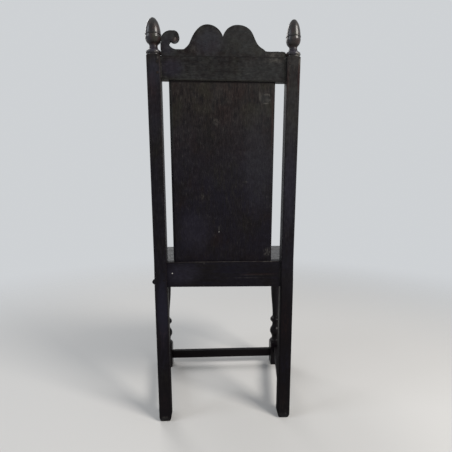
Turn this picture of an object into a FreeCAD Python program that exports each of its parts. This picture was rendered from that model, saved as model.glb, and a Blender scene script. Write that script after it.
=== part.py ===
import FreeCAD, Part
import math
import os

# A joined oak side chair of the late seventeenth century: two raked rear posts with turned acorn
# finials, a scrolled cresting on the top rail, a plank back, a boarded seat and turned front legs.
# Millimetres. +Z is up and the chair faces -Y, so +X is the sitter's left.
# The pieces are drawn with Y zero at the rear face of the rear legs, the back upright above the
# knee, and are then raked, and centred over the origin on the floor.

# Frame in plan
back_width = 396.0
front_width = 469.5
frame_depth = 356.0

# Rear posts
post_width = 34.5
post_depth = 34.0
post_arris = 2.0
leg_lean = 5.5
back_rake_angle = 4.7
back_post_length = 547.0
post_top_bevel = 2.0
foot_wear_height = 11.0
foot_wear_width = 4.5
foot_wear_rise_shares = (0.0, 0.3, 1.0)
foot_wear_inset_shares = (1.0, 0.45, 0.0)

# Finials, upward from the shoulder of the post
left_finial_height = 90.8
right_finial_height = 92.5
finial_ring_radius = 19.8
finial_ring_height = 10.0
finial_fillet_step = 0.25
finial_fillet_height = 3.0
finial_neck_radius = 10.4
finial_neck_rise = 23.5
finial_step_radius = 14.5
cove_hollow_share = 0.25
left_acorn_radius = 20.7
right_acorn_radius = 19.3
acorn_rise = 48.5
acorn_bead_height = 4.0
acorn_lip = 1.2
dome_rise_shares = (0.26, 0.52, 0.74, 0.90)
dome_radius_shares = (0.95, 0.83, 0.655, 0.425)
cup_rise_shares = (0.32, 0.55, 0.80)
cup_radius_shares = (0.63, 0.965, 1.10)

# Rear seat rail
rear_rail_stand = 11.0
rear_rail_height = 74.6
rear_rail_thickness = 26.0
rear_rail_arris = 1.5
rail_taper = 2.8

# Top rail and back panel
top_rail_drop = 1.0
top_rail_height = 59.5
top_rail_thickness = 24.0
top_rail_bevel = 2.5
left_slot_width = 19.25
right_slot_width = 27.5
panel_thickness = 10.0
panel_setback = 14.7
panel_bevel_width = 6.5
panel_bevel_depth = 2.6
groove_depth = 8.0

# Cresting: the arches are topped at shares of its half length, and the scroll, the stump and the
# flats of the valleys beside them are measured from its ends
crest_end_gap = 1.0
crest_thickness = 15.0
crest_ledge = 2.0
arch_rise = 76.8
left_arch_reach_share = 0.258
right_arch_reach_share = 0.213
cusp_rise = 48.8
cusp_offset = 2.8
left_valley_rise = 17.0
right_valley_rise = 14.4
left_valley_flat = 13.4875
right_valley_flat = 5.025
left_side_reach_shares = (0.223, 0.488, 0.646, 0.720, 0.872)
left_side_drop_shares = (0.057, 0.329, 0.649, 0.809, 0.971)
right_side_reach_shares = (0.184, 0.410, 0.537, 0.598, 0.693, 0.844)
right_side_drop_shares = (0.030, 0.207, 0.506, 0.659, 0.810, 0.941)
scroll_foot_inset = 39.0
volute_inset = 34.2
volute_rise = 47.9
volute_radius = 13.5
volute_notch_angle = -47.0
volute_bottom_angle = -170.0
volute_top_angle = -282.0
stem_inset = 20.3
stem_rise = 31.0
stem_cove_inset = 25.9
stem_cove_rise = 22.6
scroll_shoulder_inset = 10.4
scroll_shoulder_rise = 55.8
scroll_side_rise = 38.0
eye_inset = 37.5
eye_rise = 42.7
eye_radius = 4.0
eye_height = 1.6
stump_width = 39.5
stump_inset_shares = (0.051, 0.152, 0.215, 0.316, 0.405, 0.544, 1.0)
stump_rise_shares = (0.83, 1.01, 0.985, 1.055, 0.97, 1.035, 0.99)
dowel_radius = 4.0
dowel_length = 24.0
dowel_place_shares = (-0.565, 0, 0.565)

# Seat rails and seat boards
seat_height = 463.0
seat_thickness = 18.0
seat_front_overhang = 25.5
seat_front_side_overhang = 14.5
seat_rear_side_overhang = 5.5
seat_nosing = 7.0
seat_joint = 0.3
seat_joint_arris = 1.0
rear_board_share = 0.45
middle_board_share = 0.25
seat_rail_height = 60.0
seat_rail_thickness = 22.0
seat_rail_inset = 2.0
front_rail_inset = 4.0

# Front legs: the places along the turned shaft are shares of its length between the blocks
front_leg_square = 42.0
foot_block_height = 92.0
top_block_height = 76.0
block_shoulder = 3.0
block_corner_radius = 20.6
lower_neck_radius = 14.0
lower_neck_share = 0.047
vase_radius = 20.6
vase_share = 0.123
vase_shoulder_radius = 18.0
vase_shoulder_share = 0.184
upper_neck_radius = 12.4
upper_neck_share = 0.238
ball_radius = 20.2
ball_share = 0.307
ball_half_height = 9.0
ball_fillet_radius = 14.0
ball_fillet_height = 2.5
column_foot_radius = 11.6
column_foot_share = 0.375
column_middle_radius = 15.2
column_middle_share = 0.578
column_top_radius = 18.6
column_top_share = 0.830
collar_neck_radius = 13.0
collar_neck_share = 0.895
collar_radius = 18.8
collar_share = 0.939
collar_half_height = 5.0
cap_neck_radius = 15.5

# Stretchers
stretcher_height = 28.5
stretcher_thickness = 18.0
front_stretcher_rise = 29.8
side_stretcher_rise = 45.0
stretcher_arris = 1.5

# Joints
joint_clearance = 0.1
mortise_end_gap = 1.0
tenon_thickness = 8.0
tenon_edge_shoulder = 7.0
stretcher_edge_shoulder = 4.0
long_tenon = 22.0
post_side_tenon = 13.0
leg_side_tenon = 14.0
rear_rail_tenon_thickness = 7.0
rear_rail_tenon_setback = 11.5
peg_radius = 3.2
peg_inset = 7.0
peg_proud = 0.5
peg_end_chamfer = 0.4
rear_peg_length = 18.5
face_peg_length = 27.0
side_peg_radius = 4.2
side_peg_length = 28.0
side_peg_chamfer = 1.0
proud_peg_height = 4.0
peg_spread = 26.0
seat_peg_radius = 3.5
seat_peg_grip = 22.0
rear_board_peg_shares = (0.25, 0.75)
middle_board_peg_shares = (0.5,)
front_board_peg_shares = (0.5,)
front_rail_peg_spacing = 130.0
overrun = 5.0
parallel_share = 0.02

# Values worked out from those above
rake = math.radians(back_rake_angle)
half_back = back_width / 2
half_front = front_width / 2
post_inner = half_back - post_width
post_centre = half_back - post_width / 2
finial_fillet_radius = min(post_width, post_depth) / 2 - finial_fillet_step
rear_rail_top = seat_height + rear_rail_stand
knee_height = rear_rail_top
rear_rail_bottom = rear_rail_top - rear_rail_height
rear_rail_setback = post_depth - rear_rail_thickness
top_rail_setback = post_depth - top_rail_thickness
leg_inner = half_front - front_leg_square
leg_centre = half_front - front_leg_square / 2
leg_rear_face = front_leg_square - frame_depth
leg_axis_y = front_leg_square / 2 - frame_depth
seat_underside = seat_height - seat_thickness
seat_rail_bottom = seat_underside - seat_rail_height
seat_front = -(frame_depth + seat_front_overhang)
seat_back = -(post_depth + seat_joint)
top_block_bottom = seat_underside - top_block_height
top_rail_rise = back_post_length - top_rail_drop - top_rail_height
crest_seat = knee_height + top_rail_rise + top_rail_height
half_crest = post_inner - crest_end_gap
left_valley_reach = half_crest - scroll_foot_inset - left_valley_flat
right_valley_reach = half_crest - stump_width - right_valley_flat
panel_left = post_inner - left_slot_width
panel_right = right_slot_width - post_inner
shaft_length = top_block_bottom - foot_block_height

UP = FreeCAD.Vector(0, 0, 1)
ACROSS = FreeCAD.Vector(1, 0, 0)
REARWARD = FreeCAD.Vector(0, 1, 0)
LEFT = 1
RIGHT = -1


def block(x_range, y_range, z_range):
    """A box between pairs of limits, given in either order."""
    low = FreeCAD.Vector(min(x_range), min(y_range), min(z_range))
    high = FreeCAD.Vector(max(x_range), max(y_range), max(z_range))
    size = high - low
    return Part.makeBox(size.x, size.y, size.z, low)


def outline_face(edges):
    """A face from curves that follow each other end to end."""
    return Part.Face(Part.Wire([edge.toShape() for edge in edges]))


def polygon(points):
    return Part.Face(Part.makePolygon(points + points[:1]))


def raked(shape):
    """Tilt a piece of the upright back about the knee line of the posts."""
    copy = shape.copy()
    copy.rotate(FreeCAD.Vector(0, 0, knee_height), ACROSS, -back_rake_angle)
    return copy


def mirrored(shape):
    return shape.mirror(FreeCAD.Vector(0, 0, 0), ACROSS)


def on_side(shape, side):
    """The left-hand shape, or its mirror image for the right."""
    return shape if side == LEFT else mirrored(shape)


def cut_all(shape, cutters):
    return shape.cut(cutters).removeSplitter() if cutters else shape


def straight_edges_along(shape, direction, keep):
    """Straight edges parallel to a direction whose middle passes a test."""
    found = []
    for edge in shape.Edges:
        if not isinstance(edge.Curve, Part.Line):
            continue
        start, end = edge.Vertexes[0].Point, edge.Vertexes[-1].Point
        run = end - start
        if run.cross(direction).Length < run.Length * parallel_share and keep((start + end) / 2):
            found.append(edge)
    return found


def peg(start, direction, length, radius, chamfer):
    """A round peg from its head inward, with the head's edge eased."""
    body = Part.makeCylinder(radius, length, start, direction)
    head = [edge for edge in body.Edges if isinstance(edge.Curve, Part.Circle)
            and (edge.Curve.Center - start).Length < radius]
    return body.makeChamfer(chamfer, head)


def peg_hole(start, direction, length, radius):
    """The bore for a peg, open beyond the face that it was driven from."""
    mouth = start - direction * overrun
    return Part.makeCylinder(radius + joint_clearance, length + overrun, mouth, direction)


# Pegs: each is a start on the face it was driven from, a direction, a length, a radius and how far
# its head stands out of that face.

def top_rail_peg_places():
    middle = knee_height + top_rail_rise + top_rail_height / 2
    places = []
    for side in (LEFT, RIGHT):
        for step in (-peg_spread / 2, peg_spread / 2):
            start = FreeCAD.Vector(side * (post_inner + peg_inset), 0, middle + step)
            places.append((start, -REARWARD, face_peg_length, peg_radius, peg_proud))
    return places


def rear_rail_peg_places():
    middle = rear_rail_top - rear_rail_height / 2
    places = []
    for side in (LEFT, RIGHT):
        for step in (-peg_spread / 2, peg_spread / 2):
            start = FreeCAD.Vector(side * (post_inner + peg_inset), 0, middle + step)
            places.append((start, -REARWARD, rear_peg_length, peg_radius, peg_proud))
    return places


def side_rail_peg_places(side):
    """One peg through the post and one through the front leg; the left post's stands proud."""
    middle = seat_underside - seat_rail_height / 2
    stand = proud_peg_height if side == LEFT else peg_proud
    post_start = FreeCAD.Vector(side * half_back, -(post_depth - post_side_tenon / 2), middle)
    leg_start = FreeCAD.Vector(side * half_front, leg_rear_face - leg_side_tenon / 2, middle)
    return [(post_start, ACROSS * -side, side_peg_length, side_peg_radius, stand),
            (leg_start, ACROSS * -side, side_peg_length, side_peg_radius, peg_proud)]


def front_rail_peg_places():
    middle = seat_underside - seat_rail_height / 2
    places = []
    for side in (LEFT, RIGHT):
        for step in (-peg_spread / 2, peg_spread / 2):
            start = FreeCAD.Vector(side * (leg_inner + peg_inset), -frame_depth, middle + step)
            places.append((start, REARWARD, face_peg_length, peg_radius, peg_proud))
    return places


def front_stretcher_peg_places():
    middle = front_stretcher_rise + stretcher_height / 2
    return [(FreeCAD.Vector(side * (leg_inner + peg_inset), -frame_depth, middle), REARWARD,
             face_peg_length, peg_radius, peg_proud) for side in (LEFT, RIGHT)]


def side_stretcher_peg_places(side):
    middle = side_stretcher_rise + stretcher_height / 2
    outer = half_back - lean_at(middle)
    post_start = FreeCAD.Vector(side * outer, -(post_depth - post_side_tenon / 2), middle)
    leg_start = FreeCAD.Vector(side * half_front, leg_rear_face - leg_side_tenon / 2, middle)
    return [(post_start, ACROSS * -side, side_peg_length, peg_radius, peg_proud),
            (leg_start, ACROSS * -side, side_peg_length, peg_radius, peg_proud)]


def seat_boards_in_depth():
    """Each board's name, its rear and front limits, and where its pegs lie along the side rail."""
    depth = seat_back - seat_front
    rear_end = seat_back - depth * rear_board_share
    middle_end = rear_end - seat_joint - depth * middle_board_share
    return [("seat_board_rear", seat_back, rear_end, rear_board_peg_shares),
            ("seat_board_middle", rear_end - seat_joint, middle_end, middle_board_peg_shares),
            ("seat_board_front", middle_end - seat_joint, seat_front, front_board_peg_shares)]


def seat_peg_places():
    places = []
    length = seat_thickness + seat_peg_grip
    for _, rear, front, shares in seat_boards_in_depth():
        rail_end = max(front, leg_rear_face)
        for share in shares:
            y = rear + (rail_end - rear) * share
            for side in (LEFT, RIGHT):
                start = FreeCAD.Vector(side * side_rail_centre(y), y, seat_height)
                places.append((start, -UP, length, seat_peg_radius, 0))
    rail_middle = seat_rail_thickness / 2 + front_rail_inset - frame_depth
    for step in (-1, 0, 1):
        start = FreeCAD.Vector(step * front_rail_peg_spacing, rail_middle, seat_height)
        places.append((start, -UP, length, seat_peg_radius, 0))
    return places


def pegs_at(places, chamfer=peg_end_chamfer):
    made = []
    for start, direction, length, radius, stand in places:
        made.append(peg(start - direction * stand, direction, length + stand, radius, chamfer))
    return made


def holes_at(places):
    return [peg_hole(start, direction, length, radius) for start, direction, length, radius, _ in places]


# Where the slanting side members lie

def lean_at(height):
    """How far in a rear leg stands at a height below the seat rails."""
    return leg_lean * max(0, 1 - height / rear_rail_bottom)


def side_rail_outer(y):
    share = (y + post_depth) / (leg_rear_face + post_depth)
    return (half_back + (half_front - half_back) * share) - seat_rail_inset


def side_rail_centre(y):
    return side_rail_outer(y) - seat_rail_thickness / 2


def side_stretcher_centre(y):
    rear = post_centre - lean_at(side_stretcher_rise + stretcher_height / 2)
    share = (y + post_depth) / (leg_rear_face + post_depth)
    return rear + (leg_centre - rear) * share


# Tenons and their mortises

def cross_tenon(side, shoulder, length, y_range, z_range, loose=0, end_gap=0):
    """A tenon that runs outward along X from a shoulder; loose and end_gap make its mortise."""
    start = shoulder - (overrun if end_gap else 0)
    grown_y = (min(y_range) - loose, max(y_range) + loose)
    grown_z = (min(z_range) - loose, max(z_range) + loose)
    return block((side * start, side * (shoulder + length + end_gap)), grown_y, grown_z)


def depth_tenon(centre, shoulder, length, towards, z_range, loose=0, end_gap=0):
    """A tenon that runs along Y from a shoulder, towards the rear for +1 and the front for -1."""
    half = tenon_thickness / 2 + loose
    start = shoulder - towards * (overrun if end_gap else 0)
    grown_z = (min(z_range) - loose, max(z_range) + loose)
    return block((centre - half, centre + half), (start, shoulder + towards * (length + end_gap)), grown_z)


def rail_tenon_heights(bottom, height, edge_shoulder):
    return (bottom + edge_shoulder, bottom + height - edge_shoulder)


def top_rail_tenon(side, loose=0, end_gap=0):
    middle = -(top_rail_setback + top_rail_thickness / 2)
    heights = rail_tenon_heights(knee_height + top_rail_rise, top_rail_height, tenon_edge_shoulder)
    cheeks = (middle - tenon_thickness / 2, middle + tenon_thickness / 2)
    return cross_tenon(side, post_inner, long_tenon, cheeks, heights, loose, end_gap)


def rear_rail_tenon(side, loose=0, end_gap=0):
    heights = rail_tenon_heights(rear_rail_bottom, rear_rail_height, tenon_edge_shoulder)
    cheeks = (-rear_rail_tenon_setback, -(rear_rail_tenon_setback + rear_rail_tenon_thickness))
    return cross_tenon(side, post_inner, long_tenon, cheeks, heights, loose, end_gap)


def front_rail_tenon(side, loose=0, end_gap=0):
    middle = seat_rail_thickness / 2 + front_rail_inset - frame_depth
    heights = rail_tenon_heights(seat_rail_bottom, seat_rail_height, tenon_edge_shoulder)
    cheeks = (middle - tenon_thickness / 2, middle + tenon_thickness / 2)
    return cross_tenon(side, leg_inner, long_tenon, cheeks, heights, loose, end_gap)


def front_stretcher_tenon(side, loose=0, end_gap=0):
    heights = rail_tenon_heights(front_stretcher_rise, stretcher_height, stretcher_edge_shoulder)
    cheeks = (leg_axis_y - tenon_thickness / 2, leg_axis_y + tenon_thickness / 2)
    return cross_tenon(side, leg_inner, long_tenon, cheeks, heights, loose, end_gap)


def side_tenons(centre_of, bottom, height, edge_shoulder, loose=0, end_gap=0):
    """The rear and front tenons of a left side rail or stretcher."""
    heights = rail_tenon_heights(bottom, height, edge_shoulder)
    rear = depth_tenon(centre_of(-post_depth), -post_depth, post_side_tenon, 1, heights, loose, end_gap)
    front = depth_tenon(centre_of(leg_rear_face), leg_rear_face, leg_side_tenon, -1, heights, loose, end_gap)
    return rear, front


def side_rail_tenons(loose=0, end_gap=0):
    return side_tenons(side_rail_centre, seat_rail_bottom, seat_rail_height,
                       tenon_edge_shoulder, loose, end_gap)


def side_stretcher_tenons(loose=0, end_gap=0):
    return side_tenons(side_stretcher_centre, side_stretcher_rise, stretcher_height,
                       stretcher_edge_shoulder, loose, end_gap)


# Rear posts

def post_section(height, shift=0, wear=0):
    """The worn square of the left post, seen from above, at a height."""
    outer, inner = half_back - shift - wear, post_inner - shift + wear
    rear, front = -wear, wear - post_depth
    cut = post_arris
    corners = [(outer - cut, rear), (outer, rear - cut), (outer, front + cut), (outer - cut, front),
               (inner + cut, front), (inner, front + cut), (inner, rear - cut), (inner + cut, rear)]
    return polygon([FreeCAD.Vector(x, y, height) for x, y in corners])


def space_past_knee():
    """The space above the plane that halves the bend of the left post."""
    reach = back_post_length + max(left_finial_height, right_finial_height) + post_depth
    space = block((0, half_back + post_width), (-reach, reach), (knee_height, knee_height + reach))
    space.rotate(FreeCAD.Vector(0, 0, knee_height), ACROSS, -back_rake_angle / 2)
    return space


def finial_outline(height, acorn_radius):
    """Half section of a finial in X and Z, from the axis out, up and back to the axis."""
    base = knee_height + back_post_length
    top = base + height

    def at(radius, rise):
        return FreeCAD.Vector(radius, 0, base + rise)

    ring_foot = at(finial_fillet_radius, finial_fillet_height)
    ring_middle = at(finial_ring_radius, finial_fillet_height + finial_ring_height / 2)
    ring_head = at(finial_step_radius, finial_fillet_height + finial_ring_height)
    cove_span = finial_neck_rise - finial_fillet_height - finial_ring_height
    cove_depth = finial_step_radius - finial_neck_radius
    cove_middle = at(finial_neck_radius + cove_depth * cove_hollow_share,
                     finial_neck_rise - cove_span / 2)
    neck = at(finial_neck_radius, finial_neck_rise)
    cup_points = [neck]
    for rise_share, radius_share in zip(cup_rise_shares, cup_radius_shares):
        radius = finial_neck_radius + (acorn_radius - acorn_lip - finial_neck_radius) * radius_share
        cup_points.append(at(radius, finial_neck_rise + (acorn_rise - finial_neck_rise) * rise_share))
    cup_points.append(at(acorn_radius - acorn_lip, acorn_rise))
    bead_middle = at(acorn_radius, acorn_rise + acorn_bead_height / 2)
    dome_foot_height = acorn_rise + acorn_bead_height
    dome_radius = acorn_radius - acorn_lip
    dome_points = [at(dome_radius, dome_foot_height)]
    for rise_share, radius_share in zip(dome_rise_shares, dome_radius_shares):
        rise = dome_foot_height + (height - dome_foot_height) * rise_share
        dome_points.append(at(dome_radius * radius_share, rise))
    dome_points.append(FreeCAD.Vector(0, 0, top))
    cup = Part.BSplineCurve()
    cup.interpolate(cup_points, InitialTangent=UP, FinalTangent=UP)
    dome = Part.BSplineCurve()
    dome.interpolate(dome_points, InitialTangent=UP, FinalTangent=-ACROSS)
    below = at(finial_fillet_radius, -overrun)
    return [
        Part.LineSegment(FreeCAD.Vector(0, 0, below.z), below),
        Part.LineSegment(below, ring_foot),
        Part.Arc(ring_foot, ring_middle, ring_head),
        Part.Arc(ring_head, cove_middle, neck),
        cup,
        Part.Arc(cup_points[-1], bead_middle, dome_points[0]),
        dome,
        Part.LineSegment(FreeCAD.Vector(0, 0, top), FreeCAD.Vector(0, 0, below.z)),
    ]


def finial(side):
    """The two are turned by hand and differ a little."""
    if side == LEFT:
        outline = finial_outline(left_finial_height, left_acorn_radius)
    else:
        outline = finial_outline(right_finial_height, right_acorn_radius)
    turned = outline_face(outline).revolve(FreeCAD.Vector(0, 0, 0), UP, 360)
    turned.translate(FreeCAD.Vector(post_centre, -post_depth / 2, 0))
    return turned


def post_shoulder_cutter():
    """Leaves the top of the square bevelled towards the finial's fillet."""
    top = knee_height + back_post_length
    bevel_base = top - post_top_bevel
    reach = post_width
    outside = block((post_centre - reach, post_centre + reach), (-post_depth - reach, reach),
                    (bevel_base, top + overrun))
    half_diagonal = math.hypot(post_width, post_depth) / 2 - post_arris
    keep = Part.makeCone(half_diagonal, half_diagonal - post_top_bevel, post_top_bevel,
                         FreeCAD.Vector(post_centre, -post_depth / 2, bevel_base), UP)
    return outside.cut(keep)


def rear_post(side):
    past_knee = space_past_knee()
    straight = post_section(rear_rail_bottom).extrude(UP * (rear_rail_height + post_depth)).cut(past_knee)
    upper = post_section(knee_height - post_depth).extrude(UP * (back_post_length + post_depth))
    upper = raked(upper.cut(post_shoulder_cutter())).common(past_knee)
    post = rear_leg().fuse([straight, upper, raked(finial(side))])
    cutters = [raked(top_rail_tenon(LEFT, joint_clearance, mortise_end_gap)),
               rear_rail_tenon(LEFT, joint_clearance, mortise_end_gap),
               side_rail_tenons(joint_clearance, mortise_end_gap)[0],
               side_stretcher_tenons(joint_clearance, mortise_end_gap)[0]]
    cutters += [raked(hole) for hole in holes_at(top_rail_peg_places()[:2])]
    cutters += holes_at(rear_rail_peg_places()[:2])
    cutters += holes_at(side_rail_peg_places(LEFT)[:1])
    cutters += holes_at(side_stretcher_peg_places(LEFT)[:1])
    return on_side(cut_all(post, cutters), side)


def rear_leg():
    """The left post below the rear rail, leaning in, and worn round by the floor at its foot."""
    sections = []
    for rise_share, inset_share in zip(foot_wear_rise_shares, foot_wear_inset_shares):
        height = foot_wear_height * rise_share
        shift = leg_lean * (1 - height / rear_rail_bottom)
        sections.append(post_section(height, shift, foot_wear_width * inset_share))
    foot = Part.makeLoft([section.OuterWire for section in sections], True, True)
    shank = sections[-1].extrude(FreeCAD.Vector(shift, 0, rear_rail_bottom - foot_wear_height))
    return foot.fuse(shank)


# Back

def tapered_rail(setback, bottom, height):
    """A rail between the posts whose lower edge rises by the taper to its left end."""
    corners = [(-post_inner, bottom), (post_inner, bottom + rail_taper),
               (post_inner, bottom + height), (-post_inner, bottom + height)]
    face = polygon([FreeCAD.Vector(x, -post_depth, z) for x, z in corners])
    return face.extrude(REARWARD * (post_depth - setback))


def top_rail():
    bottom = knee_height + top_rail_rise
    rail = tapered_rail(top_rail_setback, bottom, top_rail_height)
    lower_rear_arris = straight_edges_along(
        rail, ACROSS, lambda p: p.y > -post_depth / 2 and p.z < bottom + top_rail_height / 2)
    rail = rail.makeChamfer(top_rail_bevel, lower_rear_arris)
    rail = rail.fuse([top_rail_tenon(LEFT), top_rail_tenon(RIGHT)])
    cutters = [panel_space()] + holes_at(top_rail_peg_places())
    cutters += [dowel_hole(x) for x in dowel_places()]
    return raked(cut_all(rail, cutters))


def panel_heights():
    end_gap = groove_depth - mortise_end_gap
    return (knee_height - end_gap, knee_height + top_rail_rise + end_gap)


def back_panel():
    heights = panel_heights()
    rear, front = -panel_setback, -(panel_setback + panel_thickness)
    bevelled = rear - panel_bevel_depth
    plan = [(panel_left, bevelled), (panel_left, front), (panel_right, front), (panel_right, bevelled),
            (panel_right + panel_bevel_width, rear), (panel_left - panel_bevel_width, rear)]
    board = polygon([FreeCAD.Vector(x, y, heights[0]) for x, y in plan])
    return raked(board.extrude(UP * (heights[1] - heights[0])))


def panel_space():
    """The grooves in the top rail and the rear seat rail that hold the ends of the panel."""
    rear = -(panel_setback - joint_clearance)
    front = -(panel_setback + panel_thickness + joint_clearance)
    heights = (knee_height - groove_depth, knee_height + top_rail_rise + groove_depth)
    return block((panel_right - joint_clearance, panel_left + joint_clearance), (rear, front), heights)


def rear_seat_rail():
    rail = tapered_rail(rear_rail_setback, rear_rail_bottom, rear_rail_height)
    arrises = straight_edges_along(rail, ACROSS, lambda p: p.y > -post_depth / 2)
    rail = rail.makeChamfer(rear_rail_arris, arrises)
    rail = rail.fuse([rear_rail_tenon(LEFT), rear_rail_tenon(RIGHT)])
    return cut_all(rail, [raked(panel_space())] + holes_at(rear_rail_peg_places()))


# Cresting

def crest_point(reach, rise):
    """A point on the rear face of the upright cresting, above the top rail."""
    return FreeCAD.Vector(reach, -(top_rail_setback + crest_ledge), crest_seat + rise)


def volute_point(angle):
    turn = math.radians(angle)
    return crest_point(half_crest - volute_inset + volute_radius * math.cos(turn),
                       volute_rise + volute_radius * math.sin(turn))


def crown_arc(top_reach):
    """From the cusp to the top of an arch, level where it ends."""
    run, climb = top_reach - cusp_offset, arch_rise - cusp_rise
    radius = (run ** 2 + climb ** 2) / (2 * climb)
    half_turn = math.atan2(abs(run), radius - climb) / 2
    side = math.copysign(1, run)
    middle = crest_point(top_reach - side * radius * math.sin(half_turn),
                         arch_rise - radius * (1 - math.cos(half_turn)))
    return Part.Arc(crest_point(cusp_offset, cusp_rise), middle, crest_point(top_reach, arch_rise))


def arch_side(side, top_reach, valley_reach, valley_rise, reach_shares, drop_shares):
    """From the top of an arch down to the valley beside it, level at both ends."""
    points = [crest_point(top_reach, arch_rise)]
    for reach_share, drop_share in zip(reach_shares, drop_shares):
        points.append(crest_point(top_reach + (valley_reach - top_reach) * reach_share,
                                  arch_rise - (arch_rise - valley_rise) * drop_share))
    points.append(crest_point(valley_reach, valley_rise))
    curve = Part.BSplineCurve()
    curve.interpolate(points, InitialTangent=ACROSS * side, FinalTangent=ACROSS * side)
    return curve


def left_arch_curves():
    top_reach = half_crest * left_arch_reach_share
    side = arch_side(LEFT, top_reach, left_valley_reach, left_valley_rise,
                     left_side_reach_shares, left_side_drop_shares)
    return [crown_arc(top_reach), side]


def right_arch_curves():
    top_reach = -half_crest * right_arch_reach_share
    side = arch_side(RIGHT, top_reach, -right_valley_reach, right_valley_rise,
                     right_side_reach_shares, right_side_drop_shares)
    return [crown_arc(top_reach), side]


def scroll_curves():
    """From the left valley round the stem and the volute to the end of the board."""
    valley = crest_point(left_valley_reach, left_valley_rise)
    valley_end = crest_point(half_crest - scroll_foot_inset, left_valley_rise)
    stem = crest_point(half_crest - stem_inset, stem_rise)
    notch = volute_point(volute_notch_angle)
    top = volute_point(volute_top_angle)
    side_top = crest_point(half_crest, scroll_side_rise)
    return [
        Part.LineSegment(valley, valley_end),
        Part.Arc(valley_end, crest_point(half_crest - stem_cove_inset, stem_cove_rise), stem),
        Part.LineSegment(stem, notch),
        Part.Arc(notch, volute_point(volute_bottom_angle), top),
        Part.Arc(top, crest_point(half_crest - scroll_shoulder_inset, scroll_shoulder_rise), side_top),
        Part.LineSegment(side_top, crest_point(half_crest, 0)),
    ]


def broken_end_lines():
    """From the foot of the right end up over the stump of its lost scroll to the valley."""
    points = [crest_point(-half_crest, 0)]
    for inset_share, rise_share in zip(stump_inset_shares, stump_rise_shares):
        points.append(crest_point(stump_width * inset_share - half_crest, right_valley_rise * rise_share))
    points.append(crest_point(-right_valley_reach, right_valley_rise))
    return [Part.LineSegment(a, b) for a, b in zip(points, points[1:])]


def cresting():
    left = left_arch_curves() + scroll_curves()
    foot = [Part.LineSegment(crest_point(half_crest, 0), crest_point(-half_crest, 0))]
    right = broken_end_lines() + right_arch_curves()[::-1]
    board = outline_face(left + foot + right).extrude(-REARWARD * crest_thickness)
    boss_base = crest_point(half_crest - eye_inset, eye_rise)
    boss = Part.makeSphere(eye_radius, boss_base - REARWARD * (eye_radius - eye_height))
    board = board.fuse(boss.common(board_space_behind()))
    cutters = [dowel_hole(x) for x in dowel_places()]
    return raked(cut_all(board, cutters + finial_spaces(LEFT) + finial_spaces(RIGHT)))


def finial_spaces(side):
    """The room that the ends of the cresting leave for the ring and the acorn beside them."""
    shoulder = FreeCAD.Vector(side * post_centre, -post_depth / 2, knee_height + back_post_length)
    acorn_radius = left_acorn_radius if side == LEFT else right_acorn_radius
    cup_foot = finial_neck_rise + (acorn_rise - finial_neck_rise) * cup_rise_shares[0]
    ring = Part.makeCylinder(finial_ring_radius + joint_clearance,
                             overrun + finial_fillet_height + finial_ring_height + joint_clearance,
                             shoulder - UP * overrun, UP)
    acorn = Part.makeCylinder(acorn_radius + joint_clearance, acorn_rise + acorn_bead_height - cup_foot,
                              shoulder + UP * cup_foot, UP)
    return [ring, acorn]


def board_space_behind():
    """The space behind the rear face of the cresting, where its boss stands."""
    centre = crest_point(half_crest - eye_inset, eye_rise)
    return block((centre.x - eye_radius, centre.x + eye_radius),
                 (centre.y - eye_height, centre.y + eye_radius),
                 (centre.z - eye_radius, centre.z + eye_radius))


def dowel_places():
    return [half_crest * share for share in dowel_place_shares]


def dowel_base(x):
    seat = crest_point(x, 0)
    return FreeCAD.Vector(x, seat.y - crest_thickness / 2, seat.z - dowel_length / 2)


def dowel_hole(x):
    start = dowel_base(x) - UP * joint_clearance
    length = dowel_length + joint_clearance * 2
    return Part.makeCylinder(dowel_radius + joint_clearance, length, start, UP)


def cresting_dowels():
    return [raked(Part.makeCylinder(dowel_radius, dowel_length, dowel_base(x), UP))
            for x in dowel_places()]


# Seat

def slanting_board(centre_of, thickness, bottom, height):
    """A left side member between the rear post and the front leg, cut to their faces."""
    rear, front = -post_depth, leg_rear_face
    half = thickness / 2
    plan = [(centre_of(rear) + half, rear), (centre_of(front) + half, front),
            (centre_of(front) - half, front), (centre_of(rear) - half, rear)]
    return polygon([FreeCAD.Vector(x, y, bottom) for x, y in plan]).extrude(UP * height)


def side_seat_rail(side):
    rail = slanting_board(side_rail_centre, seat_rail_thickness, seat_rail_bottom, seat_rail_height)
    rail = rail.fuse(list(side_rail_tenons()))
    left_pegs = [place for place in seat_peg_places() if place[0].x > 0]
    cutters = holes_at(side_rail_peg_places(LEFT)) + holes_at(left_pegs)
    return on_side(cut_all(rail, cutters), side)


def front_seat_rail():
    front = front_rail_inset - frame_depth
    rail = block((-leg_inner, leg_inner), (front, front + seat_rail_thickness),
                 (seat_rail_bottom, seat_underside))
    rail = rail.fuse([front_rail_tenon(LEFT), front_rail_tenon(RIGHT)])
    return cut_all(rail, holes_at(front_rail_peg_places()) + holes_at(seat_peg_places()))


def seat_half_width(y):
    share = (y - seat_back) / (seat_front - seat_back)
    rear = half_back + seat_rear_side_overhang
    front = half_front + seat_front_side_overhang
    return rear + (front - rear) * share


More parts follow.
